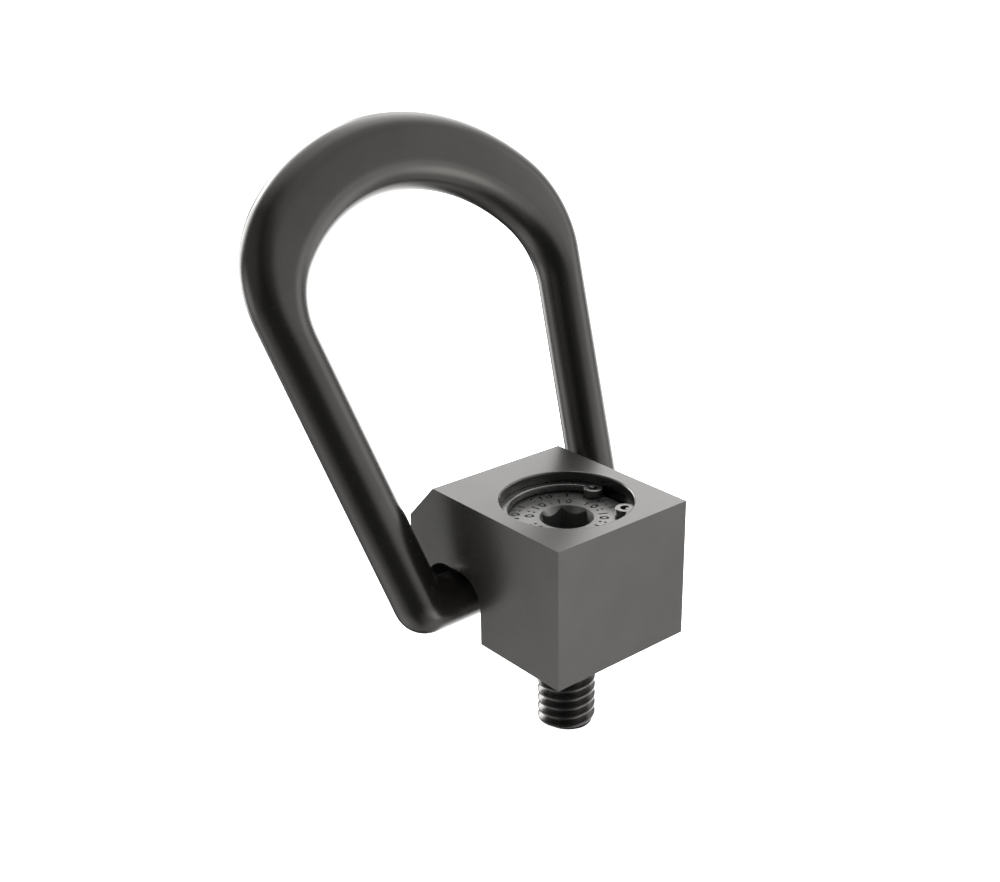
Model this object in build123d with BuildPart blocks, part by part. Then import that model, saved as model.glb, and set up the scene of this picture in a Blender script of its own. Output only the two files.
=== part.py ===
from build123d import *
from math import cos, radians, sin, sqrt
import os

os.makedirs("parts", exist_ok=True)

# The hoist ring bolts down on a load through one screw. Its body swivels on the bushing that the screw
# clamps, and the lifting loop pivots in a channel across the rear of the body.
# Origin: screw axis on the load's surface. +Z up, +X away from the loop, Y along the loop's pivot.

# Clearances
rattle = 0.15  # free play above and below each moving face
running_gap = 0.06  # radial, bushing in the body's bore

# Swivel body
body_width = 22.2
body_top = 19.6
front_x = 10.8
top_rear_x = -14.15
rear_x = -19.5
rear_chamfer_drop = 5.6

# Channel across the body for the loop's bar
channel_front_x = -4.6
channel_rear_x = -16.25
channel_ceiling = 9.25
channel_front_round = 4.1
channel_rear_round = 4.6
mouth_width = 7.25
hook_top = 1.65
hook_round = 2.0

# Pocket above the screw head
pocket_radius = 8.75
pocket_floor = 11.25
pocket_rim_round = 0.25
groove_radius = 9.4
groove_floor = 17.1
groove_height = 1.1

# Flanged bushing
sleeve_radius = 5.56
bushing_bore_radius = 4.1
flange_radius = 8.5
flange_underside = pocket_floor + rattle
flange_height = 1.4

# Flange screw, 5/16-18 UNC
screw_radius = 3.969
thread_reach = 13.7
thread_tip_chamfer = 0.45
neck_radius = 3.3
neck_length = 1.6
head_radius = 8.4
head_underside = flange_underside + flange_height
head_height = 4.2
head_chamfer = 0.25
hex_across_flats = 6.0
hex_depth = 4.4
hex_lead_in_radius = 3.55
hex_lead_in_foot_radius = 2.95
hex_lead_in_depth = 1.0
hex_drill_depth = 0.7

# Retaining ring
ring_radius = 9.37
ring_band = 1.7
ring_thickness = 1.0
ring_floor = groove_floor + (groove_height - ring_thickness) / 2
ring_gap_centre = 80.5
ring_lug_spread = 59.0
lug_centre_radius = 7.6
lug_radius = 1.3
lug_hole_radius = 0.6

# Lifting loop, a closed teardrop forged from round bar, flat on its widened crown
pivot_x = -10.22
pivot_z = 5.08
loop_tilt = 26.0  # degrees the stored loop leans back from upright
bar_radius = 3.45
loop_edge_round = bar_radius - 0.06
arm_foot = 16.4  # half the spacing of the arm centre lines at the pivot
arm_lean = 9.85  # degrees each arm leans outward
elbow_outer_round = 4.5
elbow_inner_round = 1.6
outer_top = 62.2
outer_crown_radius = 27.8
outer_shoulder_radius = 13.9
inner_top = 58.25
inner_crown_radius = 25.7
inner_shoulder_radius = 14.4


def teardrop(grow, top, crown_radius, shoulder_radius, elbow_round):
    # Closed outline that stands `grow` outside a centre line of bar, arms, shoulder arcs and crown arc
    along = Vector(sin(radians(arm_lean)), cos(radians(arm_lean)))
    across = Vector(along.Y, -along.X)
    crown = Vector(0, top - crown_radius)
    # The shoulder arc touches the arm and the crown arc, so its centre is the gap of the radii from the crown's
    start = Vector(arm_foot, 0) - across * shoulder_radius - crown
    slide = sqrt(start.dot(along) ** 2 - start.dot(start) + (crown_radius - shoulder_radius) ** 2)
    shoulder = crown + start + along * (slide - start.dot(along))
    join = (shoulder - crown).normalized()
    rise = grow * (along.X - 1) / along.Y
    foot = Vector(arm_foot, 0) + across * grow + along * rise
    arm_end = shoulder + across * (shoulder_radius + grow)
    shoulder_end = shoulder + join * (shoulder_radius + grow)
    with BuildSketch() as outline:
        with BuildLine():
            Line((0, -grow), foot)
            Line(foot, arm_end)
            TangentArc(arm_end, shoulder_end, tangent=along)
            TangentArc(shoulder_end, (0, top + grow), tangent=(-join.Y, join.X))
            mirror(about=Plane.YZ)
        make_face()
        feet = outline.vertices().filter_by(lambda v: abs(v.Y + grow) < 0.01 and abs(v.X) > arm_foot / 2)
        fillet(feet, radius=elbow_round)
    return outline.sketch


def ring_ends(distance):
    # One point towards each end of the open retaining ring, at a distance from its centre
    spread = (ring_gap_centre - ring_lug_spread / 2, ring_gap_centre + ring_lug_spread / 2)
    return [Vector(distance, 0).rotate(Axis.Z, angle) for angle in spread]


# swivel_body: block with the pocket, the bore and the loop's channel
with BuildPart() as swivel_body:
    with BuildSketch(Plane.XZ):
        with BuildLine():
            Polyline(
                (front_x, rattle),
                (front_x, body_top),
                (top_rear_x, body_top),
                (rear_x, body_top - rear_chamfer_drop),
                (rear_x, rattle),
                close=True,
            )
        make_face()
    extrude(amount=body_width / 2, both=True)
    # J-shaped channel, open underneath through the mouth in front of the rear hook
    with BuildSketch(Plane.XZ) as channel:
        with BuildLine():
            Polyline(
                (channel_front_x, -1),
                (channel_front_x, channel_ceiling),
                (channel_rear_x, channel_ceiling),
                (channel_rear_x, hook_top),
                (channel_front_x - mouth_width, hook_top),
                (channel_front_x - mouth_width, -1),
                close=True,
            )
        make_face()
        upper = channel.vertices().group_by(Axis.Y)[-1].sort_by(Axis.X)
        fillet(upper[-1], radius=channel_front_round)
        rear = channel.vertices().group_by(Axis.X)[0].sort_by(Axis.Y)
        fillet(rear[-1], radius=channel_rear_round)
        fillet(rear[0], radius=hook_round)
    extrude(amount=body_width, both=True, mode=Mode.SUBTRACT)
    # Pocket, retaining ring groove and bushing bore on the screw axis
    with BuildSketch(Plane.XY.offset(pocket_floor)):
        Circle(pocket_radius)
    extrude(amount=body_top, mode=Mode.SUBTRACT)
    rim = swivel_body.edges().filter_by(GeomType.CIRCLE).group_by(Axis.Z)[-1]
    fillet(rim, radius=pocket_rim_round)
    with BuildSketch(Plane.XY.offset(groove_floor)):
        Circle(groove_radius)
    extrude(amount=groove_height, mode=Mode.SUBTRACT)
    with BuildSketch(Plane.XY):
        Circle(sleeve_radius + running_gap)
    extrude(amount=body_top, mode=Mode.SUBTRACT)

# bushing: sleeve that the body turns on, with the flange that carries the lift
with BuildPart() as bushing:
    with BuildSketch(Plane.XY):
        Circle(sleeve_radius)
    extrude(amount=flange_underside + flange_height)
    with BuildSketch(Plane.XY.offset(flange_underside)):
        Circle(flange_radius)
    extrude(amount=flange_height)
    with BuildSketch(Plane.XY):
        Circle(bushing_bore_radius)
    extrude(amount=head_underside, mode=Mode.SUBTRACT)

# flange_screw: wide flat head with a hex socket, and the thread that enters the load
with BuildPart() as flange_screw:
    with BuildSketch(Plane.XY.offset(-thread_reach)):
        Circle(screw_radius)
    extrude(amount=thread_reach + head_underside)
    chamfer(flange_screw.edges().sort_by(Axis.Z)[0], length=thread_tip_chamfer)
    with BuildSketch(Plane.XY):
        Circle(screw_radius + 1)
        Circle(neck_radius, mode=Mode.SUBTRACT)
    extrude(amount=neck_length, mode=Mode.SUBTRACT)
    with BuildSketch(Plane.XY.offset(head_underside)):
        Circle(head_radius)
    extrude(amount=head_height)
    head_rims = flange_screw.edges().filter_by(GeomType.CIRCLE).sort_by(SortBy.RADIUS)[-2:]
    chamfer(head_rims, length=head_chamfer)
    head_top = Plane.XY.offset(head_underside + head_height)
    with BuildSketch(head_top):
        RegularPolygon(hex_across_flats / 2, 6, major_radius=False, rotation=30)
    extrude(amount=-hex_depth, mode=Mode.SUBTRACT)
    # Countersunk lead-in at the mouth and the drill point below the hexagon
    with BuildSketch(Plane.XZ):
        with BuildLine():
            Polyline(
                (0, head_top.origin.Z),
                (hex_lead_in_radius, head_top.origin.Z),
                (hex_lead_in_foot_radius, head_top.origin.Z - hex_lead_in_depth),
                (0, head_top.origin.Z - hex_lead_in_depth),
                close=True,
            )
        make_face()
    revolve(axis=Axis.Z, mode=Mode.SUBTRACT)
    with BuildSketch(Plane.XZ):
        with BuildLine():
            Polyline(
                (0, head_top.origin.Z - hex_depth + 0.1),
                (hex_across_flats / 2, head_top.origin.Z - hex_depth + 0.1),
                (hex_across_flats / 2, head_top.origin.Z - hex_depth),
                (0, head_top.origin.Z - hex_depth - hex_drill_depth),
                close=True,
            )
        make_face()
    revolve(axis=Axis.Z, mode=Mode.SUBTRACT)

# retaining_ring: open spring ring in the groove, with a plier lug at each end
with BuildPart() as retaining_ring:
    with BuildSketch(Plane.XY.offset(ring_floor)):
        Circle(ring_radius)
        Circle(ring_radius - ring_band, mode=Mode.SUBTRACT)
        Polygon((0, 0), *ring_ends(2 * ring_radius), align=None, mode=Mode.SUBTRACT)
        with Locations(*ring_ends(lug_centre_radius)):
            Circle(lug_radius)
        with Locations(*ring_ends(lug_centre_radius)):
            Circle(lug_hole_radius, mode=Mode.SUBTRACT)
    extrude(amount=ring_thickness)

# lifting_loop: forged teardrop, full round on its bar and arms
loop_plane = Plane(
    origin=(pivot_x, 0, pivot_z),
    x_dir=(0, 1, 0),
    z_dir=(cos(radians(loop_tilt)), 0, sin(radians(loop_tilt))),
)
outer_outline = teardrop(bar_radius, outer_top, outer_crown_radius, outer_shoulder_radius, elbow_outer_round)
inner_outline = teardrop(-bar_radius, inner_top, inner_crown_radius, inner_shoulder_radius, elbow_inner_round)
with BuildPart() as lifting_loop:
    with BuildSketch(loop_plane):
        add(outer_outline)
        add(inner_outline, mode=Mode.SUBTRACT)
    extrude(amount=bar_radius, both=True)
    flats = lifting_loop.faces().filter_by(Axis((0, 0, 0), loop_plane.z_dir))
    fillet(flats.edges(), radius=loop_edge_round)

pieces = {
    "swivel_body": swivel_body,
    "bushing": bushing,
    "flange_screw": flange_screw,
    "retaining_ring": retaining_ring,
    "lifting_loop": lifting_loop,
}
for name, piece in pieces.items():
    piece.part.label = name
    export_step(piece.part, f"parts/{name}.step")
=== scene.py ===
from math import cos, pi, radians, sin, sqrt

import bpy
import numpy as np
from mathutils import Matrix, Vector


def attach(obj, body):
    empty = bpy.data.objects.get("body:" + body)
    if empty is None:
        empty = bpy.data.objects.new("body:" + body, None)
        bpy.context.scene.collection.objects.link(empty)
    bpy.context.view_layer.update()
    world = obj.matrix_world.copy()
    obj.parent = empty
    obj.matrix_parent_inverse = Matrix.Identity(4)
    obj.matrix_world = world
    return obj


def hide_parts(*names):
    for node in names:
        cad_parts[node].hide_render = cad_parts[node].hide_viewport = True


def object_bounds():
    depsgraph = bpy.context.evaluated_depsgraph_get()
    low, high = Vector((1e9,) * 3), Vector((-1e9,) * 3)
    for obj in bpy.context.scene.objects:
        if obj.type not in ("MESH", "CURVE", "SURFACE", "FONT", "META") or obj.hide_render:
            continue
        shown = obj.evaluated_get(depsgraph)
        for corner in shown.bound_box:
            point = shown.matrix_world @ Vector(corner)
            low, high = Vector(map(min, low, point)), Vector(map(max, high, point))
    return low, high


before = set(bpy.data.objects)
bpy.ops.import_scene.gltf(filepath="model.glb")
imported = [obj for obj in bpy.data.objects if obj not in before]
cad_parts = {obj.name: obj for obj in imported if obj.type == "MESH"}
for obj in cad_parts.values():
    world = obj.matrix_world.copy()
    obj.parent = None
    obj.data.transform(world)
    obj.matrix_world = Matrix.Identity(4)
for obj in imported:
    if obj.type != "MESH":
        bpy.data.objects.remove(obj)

cadLow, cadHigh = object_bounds()
mm = 0.001
print("frame loaded:", ", ".join(sorted(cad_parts)))


def linearColour(hexText):
    # sRGB hex to linear red, green, blue, alpha
    part = np.array([int(hexText[i:i + 2], 16) for i in (1, 3, 5)]) / 255
    part = np.where(part <= 0.04045, part / 12.92, ((part + 0.055) / 1.055) ** 2.4)
    return (*part.tolist(), 1.0)


def addNode(tree, kind, links, **settings):
    # one node: attributes by name, inputs by socket name or number, as a value or as another node's output
    node = tree.nodes.new(kind)
    for key, value in settings.items():
        setattr(node, key, value)
    for socket, value in links.items():
        if isinstance(value, bpy.types.NodeSocket):
            tree.links.new(value, node.inputs[socket])
        else:
            node.inputs[socket].default_value = value
    return node


def gridMesh(name, points, firstPole=None, lastPole=None, wrapRows=False, flip=False, sharpAngle=32):
    # points[row, column] in mm, closed round the columns; a pole closes the first or last row with a fan,
    # and wrapRows joins the last row to the first
    rows, columns = points.shape[:2]
    index = np.arange(rows * columns).reshape(rows, columns)
    near = index if wrapRows else index[:-1]
    far = np.roll(index, -1, 0) if wrapRows else index[1:]
    quads = np.stack([near, np.roll(near, -1, 1), np.roll(far, -1, 1), far], -1).reshape(-1, 4)
    corners = points.reshape(-1, 3)
    fans = []
    for pole, row, back in ((firstPole, index[0], True), (lastPole, index[-1], False)):
        if pole is None:
            continue
        tip = np.full(columns, len(corners))
        corners = np.vstack([corners, pole])
        edge = np.stack([row, np.roll(row, -1)], -1)
        edge = edge[:, ::-1] if back else edge
        fans.append(np.column_stack([edge, tip]))
    faces = [side[:, ::-1] if flip else side for side in [quads, *fans]]
    mesh = bpy.data.meshes.new(name)
    mesh.from_pydata((corners * mm).tolist(), [], [face for side in faces for face in side.tolist()])
    mesh.update()
    mesh.shade_smooth()
    mesh.set_sharp_from_angle(angle=radians(sharpAngle))
    piece = bpy.data.objects.new(name, mesh)
    bpy.context.scene.collection.objects.link(piece)
    return piece


def softMin(a, b, blend):
    # the lower of two heights, with the corner between them rounded over `blend`
    gap = np.clip(0.5 + 0.5 * (b - a) / blend, 0, 1)
    return b + (a - b) * gap - blend * gap * (1 - gap)


loopShape = {
    "pivot": (-10.22, 0, 5.08),
    "tiltDegrees": 26.0,
    "barRadius": 3.447,
    "armFoot": 16.4,
    "armLean": 9.85,
    "outer": {"top": 62.2, "crown": 27.8, "shoulder": 13.9, "elbow": 1.05},
    "inner": {"top": 58.25, "crown": 25.7, "shoulder": 14.4, "elbow": 5.05},
    "flatBlend": 0.12,
    "stations": {"foot": 24, "elbow": 26, "arm": 40, "crown": 150},
    "columns": 80,
}


def teardropLine(side, footX, lean, turn, run):
    # Centre line of one side of the bar: straight foot, elbow arc, straight arm, shoulder arc, crown arc.
    # turn is the heading of each station in radians, run the share of the straight it stands on.
    along = np.array([sin(lean), cos(lean)])
    across = np.array([cos(lean), -sin(lean)])
    crown = np.array([0, side["top"] - side["crown"]])
    start = np.array([footX, 0]) - across * side["shoulder"] - crown
    slide = sqrt((start @ along) ** 2 - start @ start + (side["crown"] - side["shoulder"]) ** 2)
    shoulder = crown + start + along * (slide - start @ along)
    corner = side["elbow"] * np.tan((pi / 2 - lean) / 2)
    elbow = np.array([footX - corner, side["elbow"]])
    footEnd, armStart, armEnd = elbow[0], elbow + across * side["elbow"], shoulder + across * side["shoulder"]
    outward = np.stack([np.sin(turn), -np.cos(turn)], -1)
    join = np.arctan2(*(shoulder - crown)[::-1]) + pi / 2
    line = np.where((turn < join)[:, None], shoulder + side["shoulder"] * outward,
                    crown + side["crown"] * outward)
    line = np.where((turn <= pi / 2 - lean + 1e-9)[:, None], elbow + side["elbow"] * outward, line)
    onFoot, onArm = (run >= 0) & (turn < 1e-9), (run >= 0) & (turn > 1e-9)
    line[onFoot] = np.stack([run[onFoot] * footEnd, 0 * run[onFoot]], -1)
    line[onArm] = armStart + run[onArm][:, None] * (armEnd - armStart)
    return line


def outerShare(t, flatBlend):
    # 0 on the inner half of the bar's section and 1 on the outer half, eased over the flat between them
    x = np.clip(np.cos(t) / flatBlend, -1, 1)
    return 0.5 * (1.5 * x - 0.5 * x ** 3) + 0.5


def forgedLoop(shape):
    # S(u, t) = mix(O(u), I(u), h(cos t)) + r (cos t * outward(u) + sin t * n): a round bar of radius r whose
    # outer half follows the centre line O and whose inner half follows I, so it is round on the foot and the
    # arms, where both lines agree, and widens to a flat on the crown and the elbows
    lean = radians(shape["armLean"])
    bend = pi / 2 - lean
    foot, elbow, arm, crown = shape["stations"].values()
    turn = np.concatenate([np.zeros(foot), np.linspace(0, bend, elbow)[1:-1], np.full(arm, bend),
                           np.linspace(bend, pi, crown)[1:]])
    run = np.concatenate([np.linspace(0, 1, foot), np.full(elbow - 2, -1.0), np.linspace(0, 1, arm),
                          np.full(crown - 1, -1.0)])
    lines = [teardropLine(shape[side], shape["armFoot"], lean, turn, run) for side in ("outer", "inner")]
    outward = np.stack([np.sin(turn), -np.cos(turn)], -1)
    mirror = np.array([-1, 1])
    outer, inner = (np.vstack([line, line[-2:0:-1] * mirror]) for line in lines)
    outward = np.vstack([outward, outward[-2:0:-1] * mirror])
    # stations round the section, spaced by length along the widest one
    fine = np.linspace(0, 2 * pi, 4001)
    widest = (shape["outer"]["top"] - shape["inner"]["top"]) * (outerShare(fine, shape["flatBlend"]) - 0.5)
    section = np.stack([widest + shape["barRadius"] * np.cos(fine), shape["barRadius"] * np.sin(fine)], -1)
    length = np.append(0, np.cumsum(np.linalg.norm(np.diff(section, axis=0), axis=1)))
    t = np.interp(np.arange(shape["columns"]) / shape["columns"] * length[-1], length, fine)
    share = outerShare(t, shape["flatBlend"])[None, :, None]
    flat = share * outer[:, None] + (1 - share) * inner[:, None]
    flat = flat + shape["barRadius"] * np.cos(t)[None, :, None] * outward[:, None]
    tilt = radians(shape["tiltDegrees"])
    up, side = np.array([-sin(tilt), 0, cos(tilt)]), np.array([0, 1, 0])
    normal = np.array([cos(tilt), 0, sin(tilt)])
    points = np.array(shape["pivot"]) + flat[..., :1] * side + flat[..., 1:] * up
    points = points + shape["barRadius"] * np.sin(t)[None, :, None] * normal
    return gridMesh("forgedLoop", points, wrapRows=True, sharpAngle=60)


loop = forgedLoop(loopShape)
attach(loop, "loop")
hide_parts("lifting_loop")
print("lifting loop:", len(loop.data.polygons), "faces")


threadShape = {
    "pitch": 1.411,
    "majorRadius": 3.969,
    "minorRadius": 3.16,
    "crestWidth": 0.26,
    "rounding": 0.13,
    "reach": 13.7,
    "tipRadius": 3.52,
    "neckRadius": 3.3,
    "neckTop": 1.6,
    "neckFoot": 0.0,
    "neckFillet": 0.35,
    "tipBlend": 0.12,
    "neckBlend": 0.08,
    "endRings": (0.3, 2.4, 2.9),
    "top": 12.9,
    "columns": 240,
    "rowsPerPitch": 26,
}


def rolledShank(shape):
    # r(angle, z): a 60 degree V wound right-handed, its crest and root rounded, cut off by a 45 degree cone at
    # the tip and another at the neck
    angle = np.arange(shape["columns"]) / shape["columns"] * 2 * pi
    rows = int((shape["reach"] + shape["neckFoot"]) / shape["pitch"] * shape["rowsPerPitch"])
    z = np.linspace(-shape["reach"], shape["neckFoot"], rows)[:, None]
    phase = z / shape["pitch"] - angle / (2 * pi)
    away = np.abs(phase - np.round(phase)) * shape["pitch"]
    flank = shape["majorRadius"] + (shape["crestWidth"] / 2 - away) * sqrt(3)
    crest = softMin(flank, np.full_like(flank, shape["majorRadius"]), shape["rounding"])
    radius = -softMin(-crest, np.full_like(crest, -shape["minorRadius"]), 2 * shape["rounding"])
    tipCone = shape["tipRadius"] + (z + shape["reach"]) + 0 * angle
    neckCone = shape["neckRadius"] + (shape["neckFoot"] - z) + 0 * angle
    radius = softMin(softMin(radius, tipCone, shape["tipBlend"]), neckCone, shape["neckBlend"])
    turned = np.array([
        (shape["neckRadius"], shape["neckFoot"] + 0.05),
        (shape["neckRadius"], shape["neckTop"] - shape["neckFillet"]),
        (shape["neckRadius"] + 0.1, shape["neckTop"] - 0.1),
        (shape["neckRadius"] + shape["neckFillet"], shape["neckTop"]),
        (shape["majorRadius"], shape["neckTop"]),
        (shape["majorRadius"], shape["top"]),
    ])
    tip = np.array([(ring, -shape["reach"]) for ring in shape["endRings"]])
    allRadius = np.vstack([tip[:, :1] + 0 * angle, radius, turned[:, :1] + 0 * angle])
    allZ = np.vstack([tip[:, 1:] + 0 * angle, z + 0 * angle, turned[:, 1:] + 0 * angle])
    points = np.stack([allRadius * np.cos(angle), allRadius * np.sin(angle), allZ], -1)
    return gridMesh("threadedShank", points, (0, 0, -shape["reach"]), (0, 0, shape["top"]), sharpAngle=50)


shank = rolledShank(threadShape)
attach(shank, "fixing")
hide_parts("flange_screw")
print("threaded shank:", len(shank.data.polygons), "faces")


headShape = {
    "radius": 8.4,
    "underside": 12.8,
    "height": 4.2,
    "edge": 0.25,
    "acrossFlats": 6.0,
    "socketDepth": 4.4,
    "leadIn": 3.55,
    "leadInSlope": 0.6,
    "drillDepth": 0.7,
    "markDepth": 0.2,
    "stroke": 0.2,
    "outerMarks": {"middle": 6.85, "height": 1.2, "count": 34, "gapEvery": 6},
    "innerMarks": {"middle": 4.9, "height": 1.2, "count": 24, "gapEvery": 8},
    "columns": 720,
}


def stampedMarks(radius, angle, marks, stroke):
    # 1 inside a mark and 0 outside, at even steps round the head with gaps between groups: a small oval, a
    # radial bar and a pair of dots take turns. Each is a distance from its outline, cut off at half a stroke.
    step = angle / (2 * pi) * marks["count"]
    number = np.round(step)
    x = (step - number) * 2 * pi / marks["count"] * radius
    y = radius - marks["middle"]
    half = marks["height"] / 2
    oval = np.abs(np.hypot(x * 1.5, y) - half + stroke / 2) / 1.2
    bar = np.hypot(x, np.maximum(np.abs(y) - half + stroke / 2, 0))
    pair = np.hypot(x, np.abs(y) - 0.6 * half) - 0.05
    turn = (number % 3 + 0 * y).astype(int)
    away = np.choose(turn, [oval, bar, pair])
    away = np.where(number % marks["gapEvery"] == 0, 1.0, away)
    return np.clip((stroke / 2 - away) / 0.05 + 0.5, 0, 1)


def turnedHead(shape):
    # r and z of each row round the head: from the underside's centre, up the rim, in over the stamped face,
    # down the lead-in cone to the hexagon, where r = flats / 2 / cos(angle from the nearest flat), and on to
    # the drill point
    angle = np.arange(shape["columns"]) / shape["columns"] * 2 * pi
    ones = np.ones_like(angle)
    top = shape["underside"] + shape["height"]
    edge = shape["edge"]
    rim = [(1.0, shape["underside"]), (shape["radius"] - edge, shape["underside"]),
           (shape["radius"], shape["underside"] + edge), (shape["radius"], top - edge),
           (shape["radius"] - 0.3 * edge, top - 0.3 * edge)]
    face = np.linspace(shape["radius"] - edge, shape["leadIn"] + 0.02, 68)[:, None]
    marks = (stampedMarks(face, angle, shape["outerMarks"], shape["stroke"])
             + stampedMarks(face, angle, shape["innerMarks"], shape["stroke"]))
    nearest = angle - np.round(angle / (pi / 3)) * pi / 3
    wall = shape["acrossFlats"] / 2 / np.cos(nearest)
    wallTop = top - (shape["leadIn"] - wall) / shape["leadInSlope"]
    floor = top - shape["socketDepth"]
    radii = [ones * r for r, z in rim] + list(face * ones)
    radii += [ones * shape["leadIn"], wall, wall, wall - 0.03, 0.3 * ones]
    heights = [ones * z for r, z in rim] + list(top - shape["markDepth"] * marks)
    heights += [ones * (top - 0.03), wallTop, ones * floor, ones * floor,
                ones * (floor - 0.9 * shape["drillDepth"])]
    radii, heights = np.array(radii), np.array(heights)
    points = np.stack([radii * np.cos(angle), radii * np.sin(angle), heights], -1)
    piece = gridMesh("turnedHead", points, (0, 0, shape["underside"]), (0, 0, floor - shape["drillDepth"]),
                     sharpAngle=25)
    # the same mark depth also sets where the finish paints shade into the stamped recesses
    stamped = np.zeros(len(piece.data.vertices))  # how deep in a mark each point is, for the finish
    stamped[len(rim) * len(angle):(len(rim) + len(face)) * len(angle)] = marks.ravel()
    piece.data.attributes.new("stamped", "FLOAT", "POINT").data.foreach_set("value", stamped)
    return piece


head = turnedHead(headShape)
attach(head, "fixing")
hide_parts("flange_screw")
print("screw head:", len(head.data.polygons), "faces")


ringShape = {
    "radius": 9.37,
    "band": 1.7,
    "floor": 17.15,
    "thickness": 1.0,
    "bandEdge": 0.2,
    "lugEdge": 0.08,
    "lugSwell": 0.02,  # the lugs stand this much above and below the band, so that no two faces coincide
    "gapCentre": 80.5,
    "lugSpread": 59.0,
    "lugCentre": 7.6,
    "lugRadius": 1.3,
    "holeRadius": 0.6,
}


def roundedSection(inside, outside, low, high, edge):
    # r and z round a rectangle whose corners are quarter circles of radius `edge`
    quarter = np.linspace(0, pi / 2, 5)
    corners = [(outside - edge, low + edge, -pi / 2), (outside - edge, high - edge, 0),
               (inside + edge, high - edge, pi / 2), (inside + edge, low + edge, pi)]
    r = np.concatenate([x + edge * np.cos(quarter + a) for x, z, a in corners])
    z = np.concatenate([z + edge * np.sin(quarter + a) for x, z, a in corners])
    return r, z


def sectionRound(name, shape, inside, outside, edge, swell, centre, start, sweep, rows):
    # P(u, t) = centre + r(t) (cos u, sin u) + z(t): the rounded section carried round a centre, by a full turn
    # or from start over sweep, its two ends drawn in to poles
    low, high = shape["floor"] - swell, shape["floor"] + shape["thickness"] + swell
    r, z = roundedSection(inside, outside, low, high, edge)
    full = sweep > 2 * pi - 0.001
    u = start + np.linspace(0, sweep, rows, endpoint=not full)[:, None]
    points = np.stack([centre[0] + r * np.cos(u), centre[1] + r * np.sin(u), z + 0 * u], -1)
    middle = points.mean(1)
    if full:
        return gridMesh(name, points, wrapRows=True, flip=True, sharpAngle=50)
    return gridMesh(name, points, middle[0], middle[-1], flip=True, sharpAngle=50)


halfGap = radians(ringShape["lugSpread"]) / 2
gapMiddle = radians(ringShape["gapCentre"])
band = sectionRound("ringBand", ringShape, ringShape["radius"] - ringShape["band"], ringShape["radius"],
                    ringShape["bandEdge"], 0, (0, 0), gapMiddle + halfGap, 2 * pi - 2 * halfGap, 300)
lugs = []
for lugName, lugAngle in (("ringLugLeft", gapMiddle + halfGap), ("ringLugRight", gapMiddle - halfGap)):
    lugAt = (ringShape["lugCentre"] * cos(lugAngle), ringShape["lugCentre"] * sin(lugAngle))
    lugs.append(sectionRound(lugName, ringShape, ringShape["holeRadius"], ringShape["lugRadius"],
                             ringShape["lugEdge"], ringShape["lugSwell"], lugAt, 0, 2 * pi, 96))
for piece in [band, *lugs]:
    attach(piece, "swivel")
    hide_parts("retaining_ring")
print("retaining ring: band and", len(lugs), "lugs")


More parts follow.
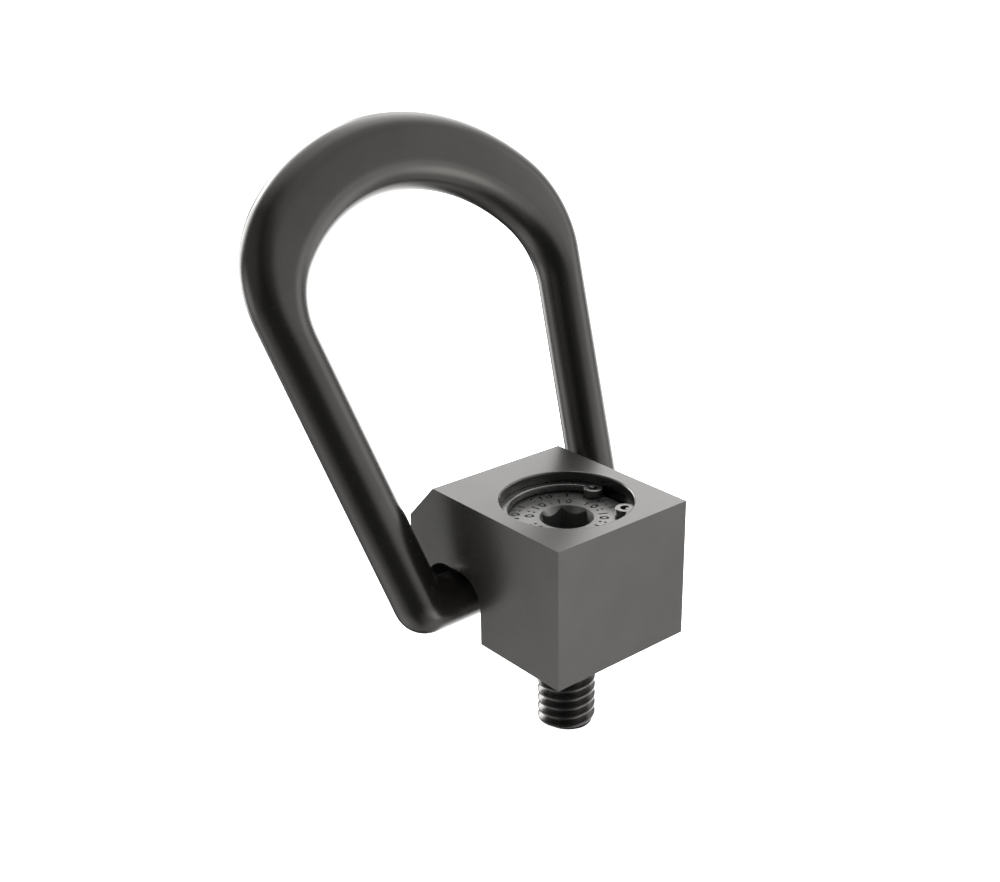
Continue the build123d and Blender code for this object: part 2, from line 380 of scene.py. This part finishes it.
def steelFinish(name, look):
    # One blackened steel. A slow mottle drifts between two shades, a fine grain breaks up shade, gloss and
    # height, and the lay is the streaks the tool left, long along one side of laySize, or round the screw's
    # axis where turned. Sizes are in mm.
    made = bpy.data.materials.new(name)
    made.use_nodes = True
    tree = made.node_tree
    tree.nodes.clear()
    place = addNode(tree, "ShaderNodeTexCoord", {}).outputs["Object"]
    along = place
    if look["turned"]:
        flat = addNode(tree, "ShaderNodeVectorMath", {0: place, 1: (1, 1, 0)}, operation="MULTIPLY")
        radius = addNode(tree, "ShaderNodeVectorMath", {0: flat.outputs[0]}, operation="LENGTH")
        apart = addNode(tree, "ShaderNodeSeparateXYZ", {0: place})
        along = addNode(tree, "ShaderNodeCombineXYZ", {0: radius.outputs["Value"],
                                                       2: apart.outputs[2]}).outputs[0]
    perMm = tuple(1 / (size * mm) for size in look["laySize"])
    along = addNode(tree, "ShaderNodeVectorMath", {0: along, 1: perMm}, operation="MULTIPLY").outputs[0]
    cloud = addNode(tree, "ShaderNodeTexNoise", {"Vector": place, "Scale": 1 / (look["mottleSize"] * mm),
                                                 "Detail": 4.0})
    grain = addNode(tree, "ShaderNodeTexNoise", {"Vector": place, "Scale": 1 / (look["grainSize"] * mm),
                                                 "Detail": 3.0})
    lay = addNode(tree, "ShaderNodeTexNoise", {"Vector": along, "Scale": 1.0, "Detail": 2.0})
    fine = addNode(tree, "ShaderNodeMix", {"Factor": look["layShare"], 2: grain.outputs["Fac"],
                                           3: lay.outputs["Fac"]}, data_type="FLOAT").outputs[0]
    shade = addNode(tree, "ShaderNodeMapRange", {"Value": cloud.outputs["Fac"],
                                                 "From Min": 0.3, "From Max": 0.7})
    speck = addNode(tree, "ShaderNodeMapRange", {"Value": fine, "From Min": 0.3, "From Max": 0.7,
                                                 "To Min": -look["grainShade"], "To Max": look["grainShade"]})
    level = addNode(tree, "ShaderNodeMath", {0: shade.outputs[0], 1: speck.outputs[0]}, operation="ADD",
                    use_clamp=True)
    colour = addNode(tree, "ShaderNodeMix", {"Factor": level.outputs[0], 6: linearColour(look["dark"]),
                                             7: linearColour(look["light"])}, data_type="RGBA").outputs[2]
    # painted shade: inside the stamped marks the colour is mixed towards a near-black, standing in for the shade
    # in their recesses
    if "paintedMarkShadeColour" in look:
        stamped = addNode(tree, "ShaderNodeAttribute", {}, attribute_name="stamped").outputs["Fac"]
        paintedMarkShade = linearColour(look["paintedMarkShadeColour"])
        colour = addNode(tree, "ShaderNodeMix", {"Factor": stamped, 6: colour, 7: paintedMarkShade},
                         data_type="RGBA").outputs[2]
    gloss = addNode(tree, "ShaderNodeMapRange", {"Value": fine, "From Min": 0.3, "From Max": 0.7,
                                                 "To Min": look["roughness"] - look["glossSpread"],
                                                 "To Max": look["roughness"] + look["glossSpread"]})
    bump = addNode(tree, "ShaderNodeBump", {"Height": fine, "Strength": look["bumpStrength"],
                                            "Distance": look["bumpHeight"] * mm})
    if "waveSize" in look:
        wave = addNode(tree, "ShaderNodeTexNoise", {"Vector": place, "Scale": 1 / (look["waveSize"] * mm),
                                                    "Detail": 1.0})
        bump = addNode(tree, "ShaderNodeBump", {"Height": wave.outputs["Fac"], "Strength": 1.0,
                                                "Distance": look["waveHeight"] * mm, "Normal": bump.outputs[0]})
    shader = addNode(tree, "ShaderNodeBsdfPrincipled", {
        "Base Color": colour, "Metallic": look["metallic"], "Roughness": gloss.outputs[0],
        "Normal": bump.outputs[0],
    })
    addNode(tree, "ShaderNodeOutputMaterial", {"Surface": shader.outputs[0]})
    return made


# Black oxide on forged, shot blasted steel: the blast leaves an even satin of tiny dimples and the hot dies
# leave long soft waves, so highlights run smooth along the bar with faintly uneven edges. Dimples are about
# 0.1 mm, drawn at 0.35 so that they show.
loopFinish = {
    "dark": "#434240", "light": "#474644", "metallic": 0.86, "turned": False, "mottleSize": 9.0,
    "grainSize": 0.35, "grainShade": 0.25, "laySize": (0.9, 0.9, 0.9), "layShare": 0.3,
    "roughness": 0.26, "glossSpread": 0.015, "bumpStrength": 0.12, "bumpHeight": 0.008,
    "waveSize": 7.0, "waveHeight": 0.015,
}
# Black oxide on milled and ground bar: flat matt grey faces with hair lines running from front to rear. The
# lines are about 0.05 mm apart, drawn at 0.2 so that they show.
bodyFinish = {
    "dark": "#545352", "light": "#585755", "metallic": 0.86, "turned": False, "mottleSize": 6.0,
    "grainSize": 0.22, "grainShade": 0.18, "laySize": (3.0, 0.2, 0.2), "layShare": 0.6,
    "roughness": 0.26, "glossSpread": 0.008, "bumpStrength": 0.05, "bumpHeight": 0.004,
}
# Black oxide on turned steel: concentric feed lines, 0.1 mm apart and drawn at 0.25, on the bushing and the
# screw's head, whose stamped marks are coloured darker as painted shade in their recesses
turnedFinish = {
    "dark": "#686766", "light": "#706f6e", "metallic": 0.62, "turned": True, "mottleSize": 4.0,
    "grainSize": 0.2, "grainShade": 0.2, "laySize": (0.25, 1.0, 0.25), "layShare": 0.6,
    "roughness": 0.28, "glossSpread": 0.01, "bumpStrength": 0.06, "bumpHeight": 0.004,
}
# the head's stamped marks take this near-black as painted shade in their recesses
headFinish = {**turnedFinish, "paintedMarkShadeColour": "#2a2a2a"}
# Black oxide on a rolled thread: the dies burnish the flanks, so they shine more than the turned steel and
# carry fine streaks that run round it, about 0.05 mm apart and drawn at 0.2
threadFinish = {
    "dark": "#4a4948", "light": "#525150", "metallic": 0.88, "turned": True, "mottleSize": 4.0,
    "grainSize": 0.2, "grainShade": 0.35, "laySize": (0.2, 1.0, 0.2), "layShare": 0.6,
    "roughness": 0.25, "glossSpread": 0.03, "bumpStrength": 0.14, "bumpHeight": 0.004,
}
# Phosphated spring steel, blanked from strip: a paler, finely crystalline grey. The crystals are about 0.02 mm,
# drawn at 0.2 so that they show.
ringFinish = {
    "dark": "#636261", "light": "#6d6c6b", "metallic": 0.82, "turned": False, "mottleSize": 4.0,
    "grainSize": 0.2, "grainShade": 0.4, "laySize": (0.5, 0.5, 0.2), "layShare": 0.3,
    "roughness": 0.28, "glossSpread": 0.03, "bumpStrength": 0.16, "bumpHeight": 0.004,
}

finishes = {
    "forgedLoop": steelFinish("blackOxideForgedSteel", loopFinish),
    "swivel_body": steelFinish("blackOxideMilledSteel", bodyFinish),
    "bushing": steelFinish("blackOxideTurnedSteel", turnedFinish),
    "turnedHead": steelFinish("blackOxideStampedSteel", headFinish),
    "threadedShank": steelFinish("blackOxideRolledThread", threadFinish),
    "ringBand": steelFinish("phosphatedSpringSteel", ringFinish),
}
finishes["ringLugLeft"] = finishes["ringLugRight"] = finishes["ringBand"]
for pieceName, made in finishes.items():
    piece = bpy.data.objects[pieceName]
    piece.data.materials.clear()
    piece.data.materials.append(made)
print("finishes:", ", ".join(sorted({made.name for made in finishes.values()})))

studio = {
    "paper": "#f4f4f2",
    "paperGlow": 1.1,
    "backdrop": 1.1,  # how bright the surroundings look to the camera itself
    "floorDrop": 0.05,  # mm under the lowest point
    "floorHalfWidth": 6.0,  # metres
    # each softbox: azimuth and elevation in degrees, how far it spreads, how bright its middle is
    "softboxes": [
        (-108, -27, 42, 0.52), (108, -27, 42, 5.18), (144, 27, 42, 0.98), (-108, -58, 42, 0.77),
        (0, -32, 42, 0.54), (36, -58, 42, 0.98), (-144, -32, 42, 0.41), (72, -32, 42, 0.15),
        (18, 0, 42, 1.50), (126, 0, 42, 0.92), (54, 0, 42, 0.60), (-108, 32, 42, 0.38),
        (108, 32, 42, 1.04), (36, 32, 42, 0.26), (0, 58, 42, 0.17), (144, 58, 42, 1.76),
        (72, 58, 42, 0.83), (-170, 15, 20, 7.01), (-175, -10, 20, 4.35), (-130, -5, 20, 1.57),
        (20, -15, 20, 2.11), (60, -10, 20, 1.97), (168, 25, 20, 9.23), (60, 20, 20, 1.68),
        (138, 40, 20, 0.60),
    ],
}

floorZ = cadLow.z - studio["floorDrop"] * mm
corners = np.array([(-1, -1), (1, -1), (1, 1), (-1, 1)]) * studio["floorHalfWidth"]
floorMesh = bpy.data.meshes.new("paperFloor")
floorMesh.from_pydata([(x, y, floorZ) for x, y in corners.tolist()], [], [(0, 1, 2, 3)])
paperFloor = bpy.data.objects.new("paperFloor", floorMesh)
bpy.context.scene.collection.objects.link(paperFloor)
# White backdrop paper, matt and lit through, so that it reads as an even white with no shadow. It is kept out of
# reflections, and the softboxes alone show in the steel.
paper = bpy.data.materials.new("litMattPaper")
paper.use_nodes = True
paper.node_tree.nodes.clear()
paperShader = addNode(paper.node_tree, "ShaderNodeBsdfPrincipled", {
    "Base Color": linearColour(studio["paper"]), "Roughness": 0.9,
    "Emission Color": (1, 1, 1, 1), "Emission Strength": studio["paperGlow"],
})
addNode(paper.node_tree, "ShaderNodeOutputMaterial", {"Surface": paperShader.outputs[0]})
floorMesh.materials.append(paper)
paperFloor.visible_glossy = False


def aim(azimuth, elevation):
    # unit vector towards a direction, azimuth from +X towards +Y, in degrees
    a, e = radians(azimuth), radians(elevation)
    return (cos(a) * cos(e), sin(a) * cos(e), sin(e))


world = bpy.data.worlds.new("softStudio")
bpy.context.scene.world = world
world.use_nodes = True
sky = world.node_tree
sky.nodes.clear()
toward = addNode(sky, "ShaderNodeTexCoord", {}).outputs["Generated"]
# each softbox is brightest in its own direction and eases to nothing at its spread, and they add up
level = 0.0
for azimuth, elevation, spread, strength in studio["softboxes"]:
    facing = addNode(sky, "ShaderNodeVectorMath", {0: toward, 1: aim(azimuth, elevation)},
                     operation="DOT_PRODUCT")
    box = addNode(sky, "ShaderNodeMapRange", {"Value": facing.outputs["Value"], "To Max": strength,
                                              "From Min": cos(radians(spread))},
                  interpolation_type="SMOOTHSTEP")
    level = addNode(sky, "ShaderNodeMath", {0: level, 1: box.outputs[0]}, operation="ADD").outputs[0]
seen = addNode(sky, "ShaderNodeLightPath", {}).outputs["Is Camera Ray"]
level = addNode(sky, "ShaderNodeMix", {"Factor": seen, 2: level, 3: studio["backdrop"]}, data_type="FLOAT")
glow = addNode(sky, "ShaderNodeBackground", {"Color": (1, 1, 1, 1), "Strength": level.outputs[0]})
addNode(sky, "ShaderNodeOutputWorld", {"Surface": glow.outputs[0]})

# place in mm, angles in degrees, lens in mm on a 36 mm sensor
cameraView = {
    "place": (121.616, -109.927, 95.067),
    "azimuth": 48.1995,
    "elevation": 22.8291,
    "lens": 50.0,
    "sensor": 36.0,
    "shift": (-0.06, 0.0118),
}
lens = bpy.data.cameras.new("productCamera")
lens.sensor_width = cameraView["sensor"]
lens.lens = cameraView["lens"]
lens.shift_x, lens.shift_y = cameraView["shift"]
lens.clip_start, lens.clip_end = 0.01, 20.0
lens.dof.use_dof = False
camera = bpy.data.objects.new("productCamera", lens)
bpy.context.scene.collection.objects.link(camera)
camera.rotation_mode = "QUATERNION"
camera.location = Vector(cameraView["place"]) * mm
back = Vector(aim(cameraView["azimuth"] - 90, cameraView["elevation"]))
camera.rotation_quaternion = (-back).to_track_quat("-Z", "Y")
bpy.context.scene.camera = camera
bpy.context.scene.view_settings.view_transform = "Standard"
print("studio and camera ready")
